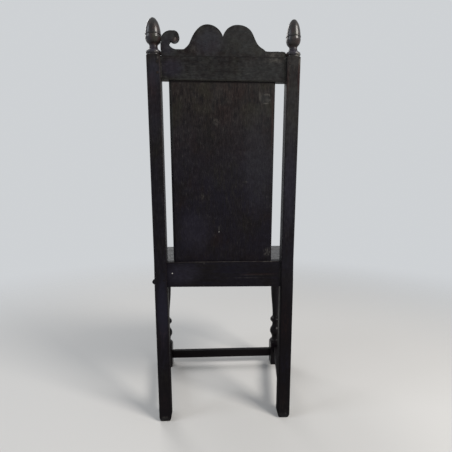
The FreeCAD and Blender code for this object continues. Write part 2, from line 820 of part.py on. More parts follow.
def seat_board(rear, front, rounded_front):
    plan = [(seat_half_width(rear), rear), (seat_half_width(front), front),
            (-seat_half_width(front), front), (-seat_half_width(rear), rear)]
    board = polygon([FreeCAD.Vector(x, y, seat_underside) for x, y in plan]).extrude(UP * seat_thickness)
    top = seat_height - seat_joint_arris
    middle = (rear + front) / 2

    def top_edges(direction, keep=lambda p: True):
        return straight_edges_along(board, direction, lambda p: p.z > top and keep(p))

    side_run = FreeCAD.Vector(seat_half_width(front) - seat_half_width(rear), front - rear, 0)
    other_run = FreeCAD.Vector(-side_run.x, side_run.y, 0)
    nosed = top_edges(side_run) + top_edges(other_run)
    if rounded_front:
        nosed += top_edges(ACROSS, lambda p: p.y < middle)
    board = board.makeFillet(seat_nosing, nosed)
    joints = top_edges(ACROSS, lambda p: p.y > middle or not rounded_front)
    board = board.makeChamfer(seat_joint_arris, joints)
    return cut_all(board, holes_at(seat_peg_places()))


# Front legs

def leg_curves():
    """Half section of the turned shaft in X and Z, from the foot block to the top block."""
    def at(radius, height):
        return FreeCAD.Vector(radius, 0, height)

    def along(radius, share):
        return at(radius, foot_block_height + shaft_length * share)

    def smooth(points, start, end):
        curve = Part.BSplineCurve()
        curve.interpolate(points, InitialTangent=start, FinalTangent=end)
        return curve

    start = at(0, foot_block_height - overrun)
    end = at(0, top_block_bottom + overrun)
    start_rim = start + ACROSS * block_corner_radius
    end_rim = end + ACROSS * block_corner_radius
    lower_step = at(block_corner_radius, foot_block_height + block_shoulder)
    upper_step = at(block_corner_radius, top_block_bottom - block_shoulder)
    lower_neck = along(lower_neck_radius, lower_neck_share)
    vase = along(vase_radius, vase_share)
    vase_shoulder = along(vase_shoulder_radius, vase_shoulder_share)
    upper_neck = along(upper_neck_radius, upper_neck_share)
    ball = along(ball_radius, ball_share)
    ball_bottom = along(ball_fillet_radius, ball_share) - UP * ball_half_height
    ball_top = along(ball_fillet_radius, ball_share) + UP * ball_half_height
    fillet_bottom = ball_bottom - UP * ball_fillet_height
    fillet_top = ball_top + UP * ball_fillet_height
    column_foot = along(column_foot_radius, column_foot_share)
    column_middle = along(column_middle_radius, column_middle_share)
    column_top = along(column_top_radius, column_top_share)
    collar_neck = along(collar_neck_radius, collar_neck_share)
    collar = along(collar_radius, collar_share)
    collar_bottom = along(cap_neck_radius, collar_share) - UP * collar_half_height
    collar_top = along(cap_neck_radius, collar_share) + UP * collar_half_height
    return [
        Part.LineSegment(start, start_rim),
        Part.LineSegment(start_rim, lower_step),
        smooth([lower_step, lower_neck], -ACROSS, UP),
        smooth([lower_neck, vase, vase_shoulder, upper_neck], UP, UP),
        smooth([upper_neck, fillet_bottom], UP, ACROSS),
        Part.LineSegment(fillet_bottom, ball_bottom),
        Part.Arc(ball_bottom, ball, ball_top),
        Part.LineSegment(ball_top, fillet_top),
        smooth([fillet_top, column_foot], -ACROSS, UP),
        smooth([column_foot, column_middle, column_top], UP, UP),
        smooth([column_top, collar_neck], UP, UP),
        smooth([collar_neck, collar_bottom], UP, ACROSS),
        Part.Arc(collar_bottom, collar, collar_top),
        smooth([collar_top, upper_step], UP, ACROSS),
        Part.LineSegment(upper_step, end_rim),
        Part.LineSegment(end_rim, end),
        Part.LineSegment(end, start),
    ]


def shouldered_block(bottom, top, bevel_bottom, bevel_top):
    """A square of the leg whose corners are turned off towards the shaft."""
    half = front_leg_square / 2
    centre = FreeCAD.Vector(leg_centre, leg_axis_y, 0)
    square = block((leg_centre - half, leg_centre + half),
                   (leg_axis_y - half, leg_axis_y + half), (bottom, top))
    corner = math.hypot(half, half)
    rise = corner - block_corner_radius
    if bevel_top:
        keep = Part.makeCone(corner + overrun, block_corner_radius, rise + overrun,
                             centre + UP * (top - rise - overrun), UP)
        below = Part.makeCylinder(corner + overrun, top - rise - bottom, centre + UP * bottom, UP)
        square = square.common(keep.fuse(below))
    if bevel_bottom:
        keep = Part.makeCone(block_corner_radius, corner + overrun, rise + overrun,
                             centre + UP * bottom, UP)
        above = Part.makeCylinder(corner + overrun, top - rise - bottom, centre + UP * (bottom + rise), UP)
        square = square.common(keep.fuse(above))
    return square


def front_leg(side):
    shaft = outline_face(leg_curves()).revolve(FreeCAD.Vector(0, 0, 0), UP, 360)
    shaft.translate(FreeCAD.Vector(leg_centre, leg_axis_y, 0))
    foot = shouldered_block(0, foot_block_height, False, True)
    head = shouldered_block(top_block_bottom, seat_underside, True, False)
    leg = shaft.fuse([foot, head])
    cutters = [front_rail_tenon(LEFT, joint_clearance, mortise_end_gap),
               front_stretcher_tenon(LEFT, joint_clearance, mortise_end_gap),
               side_rail_tenons(joint_clearance, mortise_end_gap)[1],
               side_stretcher_tenons(joint_clearance, mortise_end_gap)[1]]
    cutters += holes_at(front_rail_peg_places()[:2])
    cutters += holes_at(front_stretcher_peg_places()[:1])
    cutters += holes_at(side_rail_peg_places(LEFT)[1:])
    cutters += holes_at(side_stretcher_peg_places(LEFT)[1:])
    return on_side(cut_all(leg, cutters), side)


# Stretchers

def front_stretcher():
    half = stretcher_thickness / 2
    bar = block((-leg_inner, leg_inner), (leg_axis_y - half, leg_axis_y + half),
                (front_stretcher_rise, front_stretcher_rise + stretcher_height))
    bar = bar.makeChamfer(stretcher_arris, straight_edges_along(bar, ACROSS, lambda p: True))
    bar = bar.fuse([front_stretcher_tenon(LEFT), front_stretcher_tenon(RIGHT)])
    return cut_all(bar, holes_at(front_stretcher_peg_places()))


def side_stretcher(side):
    bar = slanting_board(side_stretcher_centre, stretcher_thickness, side_stretcher_rise, stretcher_height)
    run = FreeCAD.Vector(side_stretcher_centre(leg_rear_face) - side_stretcher_centre(-post_depth),
                         leg_rear_face + post_depth, 0).normalize()
    bar = bar.makeChamfer(stretcher_arris, straight_edges_along(bar, run, lambda p: True))
    bar = bar.fuse(list(side_stretcher_tenons()))
    return on_side(cut_all(bar, holes_at(side_stretcher_peg_places(LEFT))), side)


def chair_pieces():
    """Every piece of the chair by name; a group of like pegs is a list of solids."""
    pieces = {
        "rear_post_left": rear_post(LEFT),
        "rear_post_right": rear_post(RIGHT),
        "rear_seat_rail": rear_seat_rail(),
        "top_rail": top_rail(),
        "back_panel": back_panel(),
        "cresting": cresting(),
        "side_seat_rail_left": side_seat_rail(LEFT),
        "side_seat_rail_right": side_seat_rail(RIGHT),
        "front_seat_rail": front_seat_rail(),
        "front_leg_left": front_leg(LEFT),
        "front_leg_right": front_leg(RIGHT),
        "front_stretcher": front_stretcher(),
        "side_stretcher_left": side_stretcher(LEFT),
        "side_stretcher_right": side_stretcher(RIGHT),
    }
    boards = seat_boards_in_depth()
    for name, rear, front, _ in boards:
        pieces[name] = seat_board(rear, front, rounded_front=front == seat_front)
    pieces["cresting_dowels"] = cresting_dowels()
    pieces["top_rail_pegs"] = [raked(solid) for solid in pegs_at(top_rail_peg_places())]
    pieces["rear_rail_pegs"] = pegs_at(rear_rail_peg_places())
    left_side_pegs = pegs_at(side_rail_peg_places(LEFT), side_peg_chamfer)
    right_side_pegs = pegs_at(side_rail_peg_places(RIGHT), peg_end_chamfer)
    pieces["proud_side_rail_peg"] = left_side_pegs[:1]
    pieces["side_rail_pegs"] = left_side_pegs[1:] + right_side_pegs
    pieces["front_rail_pegs"] = pegs_at(front_rail_peg_places())
    pieces["front_stretcher_pegs"] = pegs_at(front_stretcher_peg_places())
    stretcher_places = side_stretcher_peg_places(LEFT) + side_stretcher_peg_places(RIGHT)
    pieces["side_stretcher_pegs"] = pegs_at(stretcher_places)
    pieces["seat_pegs"] = pegs_at(seat_peg_places())
    return pieces


def rearmost_reach():
    """How far behind the rear legs the raked back brings the beads of the acorns."""
    bead = back_post_length + acorn_rise + acorn_bead_height / 2
    widest = max(left_acorn_radius, right_acorn_radius)
    return bead * math.sin(rake) + (widest - post_depth / 2) * math.cos(rake)


def as_one_shape(piece):
    """A single solid as it is, or several kept side by side."""
    if isinstance(piece, list):
        return piece[0] if len(piece) == 1 else Part.makeCompound(piece)
    return piece.Solids[0] if len(piece.Solids) == 1 else piece


def main():
    os.makedirs("parts", exist_ok=True)
    centring = REARWARD * -((seat_front + rearmost_reach()) / 2)
    for name, piece in chair_pieces().items():
        shape = as_one_shape(piece)
        shape.translate(centring)
        shape.exportStep("parts/" + name + ".step")
        print(name, len(shape.Solids), shape.isValid(), round(shape.Volume))


main()
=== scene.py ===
"""Looks of a joined oak side chair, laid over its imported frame: aged black oak, marks, light and camera."""

import math

import bmesh
import bpy
from bpy.props import FloatProperty, FloatVectorProperty, PointerProperty
from mathutils import Matrix, Vector


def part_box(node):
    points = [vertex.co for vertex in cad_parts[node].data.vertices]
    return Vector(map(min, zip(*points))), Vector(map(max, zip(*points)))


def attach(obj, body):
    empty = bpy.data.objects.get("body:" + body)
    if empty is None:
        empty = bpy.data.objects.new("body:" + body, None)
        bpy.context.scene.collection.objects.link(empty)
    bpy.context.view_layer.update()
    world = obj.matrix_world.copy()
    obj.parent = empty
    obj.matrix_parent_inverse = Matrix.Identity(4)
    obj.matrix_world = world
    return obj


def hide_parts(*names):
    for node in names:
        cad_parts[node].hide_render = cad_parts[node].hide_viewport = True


bl_info = {
    "name": "Joined Oak Chair",
    "version": (1, 0, 0),
    "blender": (4, 5, 0),
    "location": "3D View > Sidebar > Chair",
    "description": "Finishes the pieces of a joined oak side chair and sets up its studio",
    "category": "Object",
}

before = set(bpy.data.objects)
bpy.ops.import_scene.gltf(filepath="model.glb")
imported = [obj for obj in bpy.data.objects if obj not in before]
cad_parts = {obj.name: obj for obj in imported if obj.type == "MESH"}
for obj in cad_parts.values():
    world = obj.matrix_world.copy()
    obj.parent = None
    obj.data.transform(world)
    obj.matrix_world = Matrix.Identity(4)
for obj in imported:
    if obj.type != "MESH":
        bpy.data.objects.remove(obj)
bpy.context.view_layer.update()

ALONG_X, ALONG_Y, ALONG_Z = 0, 1, 2
SEEN_FROM_BEHIND = (ALONG_X, ALONG_Z)
SEEN_FROM_ABOVE = (ALONG_X, ALONG_Y)

# The rear posts and the raked back, in the chair's own frame
REAR_RAIL_SETBACK = 0.008
KNEE_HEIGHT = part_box("rear_seat_rail")[1].z
RAIL_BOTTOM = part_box("rear_seat_rail")[0].z
REAR_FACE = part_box("rear_seat_rail")[1].y + REAR_RAIL_SETBACK
BACK_RAKE = math.radians(4.7)
KNEE_BLEND = 0.001
POST_WIDTH = 0.0345
POST_DEPTH = 0.034
POST_CENTRE = 0.18075
LEG_LEAN = 0.0055
SHOULDER_HEIGHT = KNEE_HEIGHT + 0.547
SHOULDER_EASE = 0.003
RAIL_JOINT = SHOULDER_HEIGHT - 0.001
NECK_BOTTOM = (SHOULDER_HEIGHT + 0.013, SHOULDER_HEIGHT + 0.017)
NECK_TOP = (SHOULDER_HEIGHT + 0.027, SHOULDER_HEIGHT + 0.033)

# The eye of the scroll: its place seen from behind, and how far its rubbed boss reaches
SCROLL_EYE = (0.1250, 1.0590)
EYE_REACH = 0.007

# Scales of the wood's noises, and how the fine grain and the pores multiply the grain's own
PORE_SCALE = 1100.0
PATCH_SCALE = 13.0
CAST_SCALE = 17.0
SPOT_SCALE = 90.0
FINE_GRAIN = 3.2
PORE_SQUEEZE = 0.35

# How far a piece's seed moves its grain along each axis
SEED_STEP = (1.0, 0.7, 1.3)

# Values of the noises between which each mask of the wood goes from 0 to 1
PORES = (0.55, 0.70)
STREAKED = (0.38, 0.74)
HAZED = (0.33, 0.69)
RED_CAST = (0.52, 0.74)
OLIVE_CAST = (0.48, 0.28)
FILMED = (0.30, 0.60)
FLECKED = (0.57, 0.68)
DUSTED = (0.30, 0.65)
SPECKED = (0.56, 0.40)
RUBBED_SPOTS = (0.42, 0.62)
RUBBED_GRAIN = (0.35, 0.65)
TORN = (0.46, 0.58)
DULLED_WAX = (0.50, 0.75)
HANDLED = (0.40, 0.64)
SAT_ON = (0.35, 0.65)

# Share of a spot's reach that is its full core
SPOT_CORE = 0.3

# How much of its colour each of the wood's layers lays on
RED_STRENGTH = 0.28
OLIVE_STRENGTH = 0.40
PORE_STRENGTH = 0.5
ARRIS_RED = 0.5
ARRIS_BARE = 0.35
DUST_STRENGTH = 0.35
SPECK_STRENGTH = 0.35
# Painted shade on the rear legs' inner faces
INNER_SHADE_STRENGTH = 0.8
# Painted sheen on the rear legs' inner faces
INNER_SHEEN_STRENGTH = 0.3
HANDLED_STRENGTH = 0.55
SAT_ON_STRENGTH = 0.45

# How much the spots, the fine grain, dust and the painted shade on the rear legs' inner faces change the
# wood's roughness
SPOT_ROUGHNESS = 0.22
GRAIN_ROUGHNESS = 0.16
DUST_ROUGHNESS = 0.12
INNER_SHADE_ROUGHNESS = 0.4

# Shares of the wax polish: what is left on the seat, what its dull places and the finials' necks lose,
# and what is left of the seat's share on the front legs
WAX_LEFT = 0.45
WAX_LOST = 0.25
NECK_LOSS = 0.7
WAX_THIN = 0.45

# How far a face has to turn to an axis before a layer starts and is full
UPWARD = (0.35, 0.95)
DOWNWARD = (-0.4, -0.9)
REARWARD = (0.2, 0.6)
INWARD = (-0.4, -0.9)

# Heights and depths between which a layer goes from 0 to 1, or the darkening towards the floor, part grime
# and part painted shade, wears off
FILM_HEIGHTS = (0.98, 0.62)
SHADE_AND_GRIME_HEIGHTS = (0.12, 1.0)
# Painted shade on the rear legs' inner faces, low down
INNER_SHADE_HEIGHTS = (0.28, 0.16)
# Painted sheen on the rear legs' inner faces, higher up
INNER_SHEEN_HEIGHTS = (0.22, 0.28)
UNDER_RAIL = (RAIL_BOTTOM + 0.02, RAIL_BOTTOM)
REAR_HALF = (REAR_FACE - 0.024, REAR_FACE - 0.014)
FRONT_HALF = REAR_HALF[::-1]

# The rubbed middle of the seat and how far it reaches across and back
SEAT_RUB = (0.0, -0.05)
SEAT_RUB_REACH = (0.25, 0.22361)

# The burred head of the proud peg: how far each ring stands out of the post, its half height and half depth
BURR_RINGS = (
    (0.0, 0.0098, 0.0060),
    (0.0030, 0.0094, 0.0058),
    (0.0075, 0.0062, 0.0048),
    (0.0105, 0.0024, 0.0022),
)
BURR_DROP = 0.002
PEG_SIDES = 12
TEAR_DEPTH = 0.10
TEAR_LOBES = 3
TEAR_TWIST = 260

# Lamps: where each one hangs and aims, its width and height, and its colour
LAMPS = {
    "window": ((-1.50, 1.40, 2.05), (0, 0.15, 0.75), (0.80, 0.95), (1.0, 0.96, 0.90)),
    "sky": ((2.10, 0.75, 1.90), (0, 0.15, 0.60), (0.90, 1.20), (0.88, 0.94, 1.0)),
    "front": ((1.20, -2.20, 2.60), (0, -0.1, 0.50), (1.40, 1.40), (1.0, 0.98, 0.96)),
}
SENSOR_WIDTH = 36.0
FLOOR_SIZE = 2
FLOOR_FADE = (0.5, 1.6)

# Marks seen from behind: colour, strength, raggedness, place across and up, reach across and up
LEFT_POST_MARKS = (
    ("worn", 0.70, 0.6, (0.1690, 1.0137), (0.003, 0.005)),
    ("haze", 0.35, 0.4, (0.1800, 0.990), (0.022, 0.050)),
    ("bloom", 0.60, 0.3, (0.1800, 0.975), (0.024, 0.050)),
    ("bloom", 0.50, 0.3, (0.1770, 0.330), (0.020, 0.110)),
    ("cool", 0.60, 0.3, (0.1760, 0.340), (0.022, 0.160)),
    ("cool", 0.35, 0.4, (0.1800, 0.900), (0.024, 0.130)),
    ("red", 0.20, 0.5, (0.1840, 0.945), (0.016, 0.045)),
    ("red", 0.14, 0.9, (0.1790, 0.2600), (0.020, 0.050)),
    ("cool", 0.28, 0.9, (0.1790, 0.1900), (0.020, 0.060)),
    ("olive", 0.08, 1.0, (0.1790, 0.1300), (0.020, 0.060)),
    ("red", 0.08, 0.9, (0.1790, 0.0600), (0.020, 0.040)),
    ("haze", 0.45, 0.3, (0.1800, 1.1040), (0.016, 0.016)),
    ("bloom", 0.60, 0.2, (0.1930, 1.0800), (0.008, 0.020)),
    ("bloom", 0.75, 0.3, (0.1920, 1.0560), (0.010, 0.016)),
    ("olive", 0.70, 0.2, (0.1745, 1.0610), (0.009, 0.014)),
    ("bloom", 0.70, 0.3, (0.1810, 1.0390), (0.014, 0.010)),
    ("bloom", 0.80, 0.2, (0.1800, 1.0300), (0.024, 0.009)),
    # Painted highlight on the right of the left finial's ring
    ("worn", 0.60, 0.2, (0.1715, 1.0270), (0.007, 0.004)),
    ("worn", 0.35, 0.9, (0.1810, 0.0150), (0.017, 0.0040)),
    ("haze", 0.60, 0.7, (0.1810, 0.0070), (0.020, 0.0080)),
)
RIGHT_POST_MARKS = (
    ("worn", 0.90, 0.4, (-0.1960, 1.006), (0.004, 0.014)),
    ("haze", 0.35, 0.4, (-0.1800, 0.870), (0.026, 0.130)),
    ("bloom", 0.50, 0.3, (-0.1800, 0.700), (0.022, 0.180)),
    ("red", 0.70, 0.4, (-0.1945, 0.970), (0.005, 0.050)),
    ("red", 0.50, 0.4, (-0.1650, 0.960), (0.004, 0.060)),
    # Painted shade and grime: a darker patch low on the right rear leg
    ("grime_and_shade", 0.80, 0.2, (-0.1750, 0.230), (0.034, 0.250)),
    ("red", 0.14, 0.9, (-0.1770, 0.3000), (0.020, 0.080)),
    ("cool", 0.30, 0.9, (-0.1790, 0.1650), (0.020, 0.070)),
    ("red", 0.08, 0.9, (-0.1770, 0.0700), (0.020, 0.050)),
    ("olive", 0.12, 1.0, (-0.1790, 0.0300), (0.020, 0.030)),
    ("grime_and_shade", 0.50, 0.2, (-0.1805, 1.0930), (0.010, 0.034)),
    ("bloom", 0.65, 0.3, (-0.1670, 1.0700), (0.008, 0.032)),
    ("olive", 0.60, 0.3, (-0.1840, 1.0750), (0.009, 0.008)),
    ("red", 0.50, 0.5, (-0.1880, 1.0570), (0.011, 0.011)),
    ("bloom", 0.75, 0.3, (-0.1810, 1.0370), (0.018, 0.012)),
    ("bloom", 0.80, 0.2, (-0.1800, 1.0300), (0.024, 0.009)),
    # Painted highlight on the right of the right finial's ring
    ("worn", 0.95, 0.1, (-0.1915, 1.0255), (0.009, 0.007)),
    ("worn", 0.45, 0.9, (-0.1770, 0.0150), (0.016, 0.0050)),
    ("haze", 0.60, 0.7, (-0.1810, 0.0070), (0.020, 0.0080)),
)
TOP_RAIL_MARKS = (
    # Painted light: a lighter strip on the rail's right end, where the right post's shadow falls
    ("worn", 0.28, 0.3, (-0.1590, 0.990), (0.006, 0.070)),
    ("bloom", 0.70, 0.3, (0.1350, 0.992), (0.040, 0.030)),
    ("grime_and_shade", 0.70, 0.5, (0.0, RAIL_JOINT), (0.400, 0.0018)),
    ("grime_and_shade", 0.60, 0.6, (-0.010, 0.9835), (0.060, 0.0025)),
    ("worn", 0.45, 0.5, (0.1622, 0.988), (0.0013, 0.035)),
    ("haze", 0.50, 0.4, (-0.0950, 0.990), (0.070, 0.050)),
    ("grime_and_shade", 0.25, 0.4, (0.0250, 0.990), (0.080, 0.040)),
    ("worn", 0.35, 0.9, (-0.130, 1.0120), (0.035, 0.009)),
)
CRESTING_MARKS = (
    ("haze", 0.45, 0.3, (-0.0650, 1.0600), (0.110, 0.060)),
    ("grime_and_shade", 0.60, 0.5, (0.0, RAIL_JOINT), (0.400, 0.0018)),
    ("red", 0.80, 0.3, SCROLL_EYE, (0.009, 0.009)),
    # Painted highlight on the boss in the scroll's eye
    ("worn", 0.75, 0.1, (0.1255, 1.0605), (0.0035, 0.0045)),
    ("bloom", 0.50, 0.4, (0.0420, 1.0550), (0.055, 0.045)),
    ("bloom", 0.45, 0.3, (0.1450, 1.0450), (0.025, 0.035)),
    ("worn", 0.15, 0.8, (0.0790, 1.0390), (0.010, 0.012)),
    ("worn", 0.40, 0.9, (-0.1320, 1.0260), (0.030, 0.007)),
    ("grime_and_shade", 0.80, 0.6, (-0.1380, 1.0260), (0.012, 0.0025)),
)
PANEL_MARKS = (
    ("haze", 0.50, 0.3, (-0.1091, 0.918), (0.019, 0.020)),
    ("worn", 0.42, 0.2, (-0.0955, 0.9240), (0.0042, 0.0160)),
    ("grime_and_shade", 0.50, 0.4, (-0.1040, 0.9200), (0.0030, 0.0140)),
    ("worn", 0.32, 0.4, (-0.1140, 0.9290), (0.0110, 0.0030)),
    ("worn", 0.26, 0.5, (-0.1180, 0.9160), (0.0120, 0.0045)),
    ("worn", 0.60, 0.2, (-0.1120, 0.9064), (0.0100, 0.0022)),
    ("grime_and_shade", 0.80, 0.2, (0.0, 0.9595), (0.400, 0.0040)),
    ("bloom", 0.50, 0.4, (0.0850, 0.560), (0.060, 0.080)),
    ("bloom", 0.35, 0.4, (-0.0900, 0.740), (0.060, 0.180)),
    ("haze", 0.30, 0.5, (-0.1000, 0.800), (0.060, 0.220)),
    ("worn", 0.30, 0.8, (0.0215, 0.858), (0.012, 0.012)),
    ("worn", 0.30, 0.8, (0.0614, 0.660), (0.008, 0.012)),
    ("worn", 0.35, 0.8, (-0.0579, 0.699), (0.010, 0.004)),
    ("worn", 0.45, 0.9, (-0.1250, 0.500), (0.020, 0.016)),
    ("red", 0.50, 0.2, (-0.1300, 0.860), (0.0022, 0.120)),
    ("haze", 0.60, 0.4, (0.1400, 0.860), (0.0060, 0.160)),
    ("worn", 0.60, 0.0, (0.0146, 0.5680), (0.0010, 0.0120)),
    ("pale", 0.80, 0.0, (0.0146, 0.5590), (0.0011, 0.0022)),
)
REAR_RAIL_MARKS = (
    ("bloom", 0.60, 0.4, (0.1200, 0.4400), (0.070, 0.040)),
    ("worn", 0.50, 0.5, (0.0, 0.4740), (0.170, 0.0012)),
    ("worn", 0.60, 0.7, (-0.1250, 0.4745), (0.030, 0.0040)),
    ("red", 0.60, 0.3, (-0.1000, 0.4365), (0.070, 0.0016)),
    ("worn", 0.20, 0.6, (-0.0900, 0.4340), (0.075, 0.0012)),
    ("worn", 0.18, 0.7, (-0.0600, 0.4265), (0.080, 0.0014)),
    ("grime_and_shade", 0.35, 0.5, (-0.1150, 0.4500), (0.060, 0.030)),
    # Painted light: a lighter strip on the rail's right end, where the right post's shadow falls
    ("worn", 0.12, 0.3, (-0.1620, 0.4400), (0.006, 0.045)),
    ("worn", 0.35, 0.6, (0.0578, 0.4700), (0.0040, 0.0040)),
    # Painted highlight: a white dot for the glint of a nail head
    ("pale", 1.00, 0.0, (0.1479, 0.4420), (0.0022, 0.0022)),
)

# The knot of the plank: its place and reach, its rings, how unevenly they run, and the ranges of its masks
KNOT_PLACE = (-0.1140, 0.919)
KNOT_REACH = (0.018, 0.020)
KNOT_RINGS = 2.2
KNOT_SWIRL = 2.6
KNOT_STRENGTH = 0.45
RING_WIDTH = 0.5
RING_MASK = (0.28, 0.5)
KNOT_EDGE = (0.6, 1.1)
KNOT_GRAIN = (0.38, 0.60)


# Settings

def shade(name, description, default):
    return FloatVectorProperty(name=name, description=description, default=default,
                               subtype="COLOR", size=3, min=0, max=1)


def share(name, description, default):
    return FloatProperty(name=name, description=description, default=default,
                         min=0, max=1, subtype="FACTOR")


def length(name, description, default):
    return FloatProperty(name=name, description=description, default=default, min=0, unit="LENGTH")


def power(name, description, default):
    return FloatProperty(name=name, description=description, default=default, min=0, unit="POWER")


def angle(name, description, degrees):
    return FloatProperty(name=name, description=description, default=math.radians(degrees), subtype="ANGLE")


class OakColours(bpy.types.PropertyGroup):
    dark: shade("Dark oak", "Blackened wood in the shade of its grain", (0.0062, 0.0055, 0.0062))
    brown: shade("Brown oak", "Lighter streaks of the blackened wood", (0.0300, 0.0215, 0.0180))
    red: shade("Red oak", "Rubbed, reddish wood of arrises and turnings", (0.0350, 0.0165, 0.0140))
    olive: shade("Olive oak", "Yellow-green flecks of old varnish", (0.0310, 0.0290, 0.0180))
    cool: shade("Cool film", "Blue-black bloom of the old stain", (0.0102, 0.0096, 0.0188))
    bloom: shade("Bloom", "Violet bloom of old wax", (0.0210, 0.0190, 0.0290))
    haze: shade("Haze", "Grey-green film of old dust and wax", (0.0290, 0.0305, 0.0305))
    # Worn oak also serves as painted light: highlights on the finials' rings and the scroll's eye, lighter
    # strips in the right post's shadow on the rails, the top rail's lit underside and a sheen on the rear
    # legs' inner faces
    worn: shade("Worn oak", "Bare worn wood on arrises and scratches", (0.110, 0.102, 0.090))
    # Pale also paints the glint of a nail head on the rear seat rail
    pale: shade("Pale chip", "Fresh scratches and specks of plaster", (0.550, 0.530, 0.500))
    # Grime is also the colour of painted shade: the darkening towards the floor, the shade on the rear legs'
    # inner faces and a darker patch low on the right rear leg
    grime_and_shade: shade("Grime", "Soot and wax in joints and low on the legs", (0.0020, 0.0009, 0.0016))


class OakSurface(bpy.types.PropertyGroup):
    gloss: share("Polished roughness", "Roughness of the turned and handled parts", 0.34)
    rub: share("Plain roughness", "Roughness of the plain members", 0.50)
    dull: share("Dull roughness", "Roughness of the dusty back", 0.62)
    specular: share("Specular", "Strength of the dry wood's reflection", 0.085)
    polish: share("Polish", "Weight of the wax polish where hands reach", 0.56)
    polish_roughness: share("Polish roughness", "Roughness of the wax polish", 0.27)
    # Painted shade and grime: how much of the wood's colour is left at the floor
    floor_shade_and_grime: share("Foot darkening", "How much of the wood's colour is left at the floor", 0.14)
    grain_depth: length("Grain depth", "How deep the open grain is", 0.00025)
    wear_width: length("Wear width", "How far wear reaches in from an arris", 0.0022)


class Studio(bpy.types.PropertyGroup):
    wall: shade("Wall", "Pale ground behind and around the chair", (0.62, 0.64, 0.66))
    fill: shade("Fill light", "Soft light from all round", (0.38, 0.40, 0.42))
    floor: shade("Floor", "Plain pale floor", (0.62, 0.61, 0.60))
    floor_reach: length("Floor reach", "How far the floor runs before it fades into the wall", 1.6)
    window_power: power("Window power", "Power of the main lamp, high on the right", 56.0)
    front_power: power("Front power", "Power of the weak lamp before the chair", 32.0)
    sky_power: power("Sky power", "Power of the weaker lamp on the left", 14.0)
    focal_length: FloatProperty(name="Focal length", description="Focal length on a 36 mm wide sensor",
                                default=26.065, unit="CAMERA")
    eye: FloatVectorProperty(name="Camera place", description="Where the camera stands",
                             default=(0.0342, 1.07843, 0.6578), subtype="TRANSLATION", unit="LENGTH")
    turn: angle("Turn", "Camera's turn from straight ahead", 2.455)
    tilt: angle("Tilt", "Camera's downward tilt", 5.045)
    roll: angle("Roll", "Camera's roll", -0.21)


class ChairSettings(bpy.types.PropertyGroup):
    colours: PointerProperty(type=OakColours, name="Colours", description="Colours of the oak")
    surface: PointerProperty(type=OakSurface, name="Surface", description="Sheen, grain and wear")
    studio: PointerProperty(type=Studio, name="Studio", description="Stage, light and camera")


# Shader building

def find_socket(sockets, key):
    if isinstance(key, int):
        return sockets[key]
    return next(socket for socket in sockets if key in (socket.identifier, socket.name))


def opaque(colour):
    return colour if isinstance(colour, Wire) else (*colour, 1)


def new_material(name):
    material = bpy.data.materials.new(name)
    material.use_nodes = True
    return material


class Wire:
    """A node's output, so that sums written in Python become Math nodes."""

    def __init__(self, finish, socket):
        self.finish = finish
        self.socket = socket

    def math(self, operation, *values):
        return self.finish.add("ShaderNodeMath", {"operation": operation}, dict(enumerate(values)))

    def __add__(self, other):
        return self.math("ADD", self, other)

    __radd__ = __add__

    def __sub__(self, other):
        return self.math("SUBTRACT", self, other)

    def __rsub__(self, other):
        return self.math("SUBTRACT", other, self)

    def __mul__(self, other):
        return self.math("MULTIPLY", self, other)

    __rmul__ = __mul__

    def __truediv__(self, other):
        return self.math("DIVIDE", self, other)

    def __rtruediv__(self, other):
        return self.math("DIVIDE", other, self)

    def __abs__(self):
        return self.math("ABSOLUTE", self)

    def root(self):
        return self.math("SQRT", self)

    def larger(self, other):
        return self.math("MAXIMUM", self, other)


class Finish:
    """A node tree whose nodes are added one after another."""

    def __init__(self, tree):
        self.tree = tree
        self.tree.nodes.clear()

    def add(self, kind, settings=None, inputs=None, output=0):
        node = self.tree.nodes.new(kind)
        for name, value in (settings or {}).items():
            setattr(node, name, value)
        for key, value in (inputs or {}).items():
            socket = find_socket(node.inputs, key)
            if isinstance(value, Wire):
                self.tree.links.new(value.socket, socket)
            else:
                socket.default_value = value
        return Wire(self, find_socket(node.outputs, output))

    def point(self):
        """The place on the object."""
        return self.add("ShaderNodeTexCoord", output="Object")

    def vector(self, operation, a, b):
        return self.add("ShaderNodeVectorMath", {"operation": operation}, {0: a, 1: b})

    def split(self, vector):
        parts = self.add("ShaderNodeSeparateXYZ", inputs={"Vector": vector})
        return [Wire(self, socket) for socket in parts.socket.node.outputs]

    def noise(self, vector, scale, detail, roughness):
        return self.add("ShaderNodeTexNoise", None,
                        {"Vector": vector, "Scale": scale, "Detail": detail, "Roughness": roughness})

    def slope(self, value, start, end, at_start, at_end):
        """A straight slope between two values, level outside them."""
        return self.add("ShaderNodeMapRange", None, {"Value": value, "From Min": start, "From Max": end,
                                                     "To Min": at_start, "To Max": at_end})

    def smooth(self, value, low, high):
        """0 below low, 1 above high, with an eased slope between."""
        return self.add("ShaderNodeMapRange", {"interpolation_type": "SMOOTHSTEP"},
                        {"Value": value, "From Min": low, "From Max": high})

    def blend(self, factor, a, b):
        inputs = {"Factor_Float": factor, "A_Color": opaque(a), "B_Color": opaque(b)}
        return self.add("ShaderNodeMix", {"data_type": "RGBA"}, inputs, "Result_Color")

    def bump(self, height, depth):
        return self.add("ShaderNodeBump", None, {"Height": height, "Distance": depth, "Strength": 1.0})

    def show(self, kind, shader):
        """Join the finished shader to the tree's output."""
        output = self.tree.nodes.new(kind)
        self.tree.links.new(shader.socket, output.inputs["Surface"])


